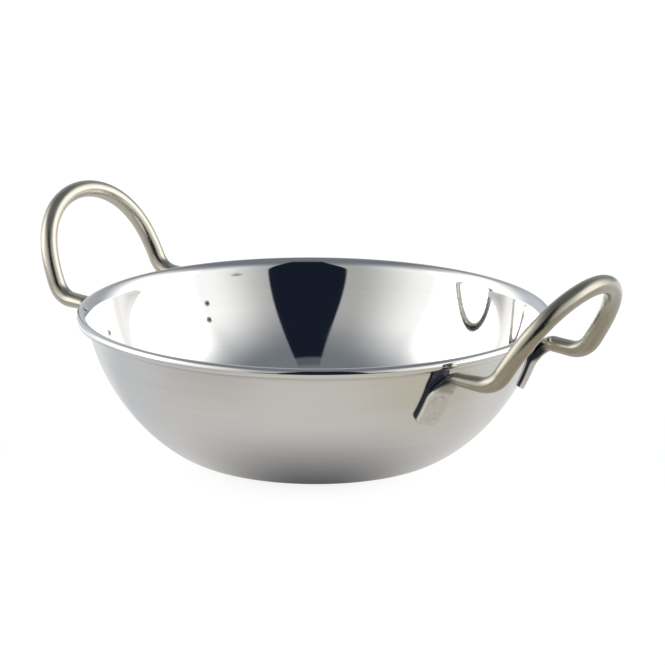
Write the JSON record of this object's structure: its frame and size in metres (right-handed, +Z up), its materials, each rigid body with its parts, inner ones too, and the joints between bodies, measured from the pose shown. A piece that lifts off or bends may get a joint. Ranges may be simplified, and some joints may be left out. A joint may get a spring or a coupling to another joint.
{
  "type": "balti dish",
  "caption": "Low round steel dish with a curled rim, a flat base and a spot-welded wire loop handle on each side, for cooking and serving.",
  "frame": {"origin": "centre of the flat underside of the base", "axes": "+Z up along the bowl's axis, +X towards one handle, -X towards the other"},
  "size_m": [0.203, 0.15, 0.0743],
  "materials": {
    "polished_steel": "mirror polish inside, satin polish outside",
    "satin_wire": "satin drawn wire",
    "weld_steel": "heat-marked spot weld"
  },
  "bodies": {
    "root": {"bowl": "polished_steel", "handle_right": "satin_wire", "handle_left": "satin_wire", "weld_right_front_upper": "weld_steel", "weld_right_front_lower": "weld_steel", "weld_right_back_upper": "weld_steel", "weld_right_back_lower": "weld_steel", "weld_left_front_upper": "weld_steel", "weld_left_front_lower": "weld_steel", "weld_left_back_upper": "weld_steel", "weld_left_back_lower": "weld_steel"}
  },
  "joints": []
}
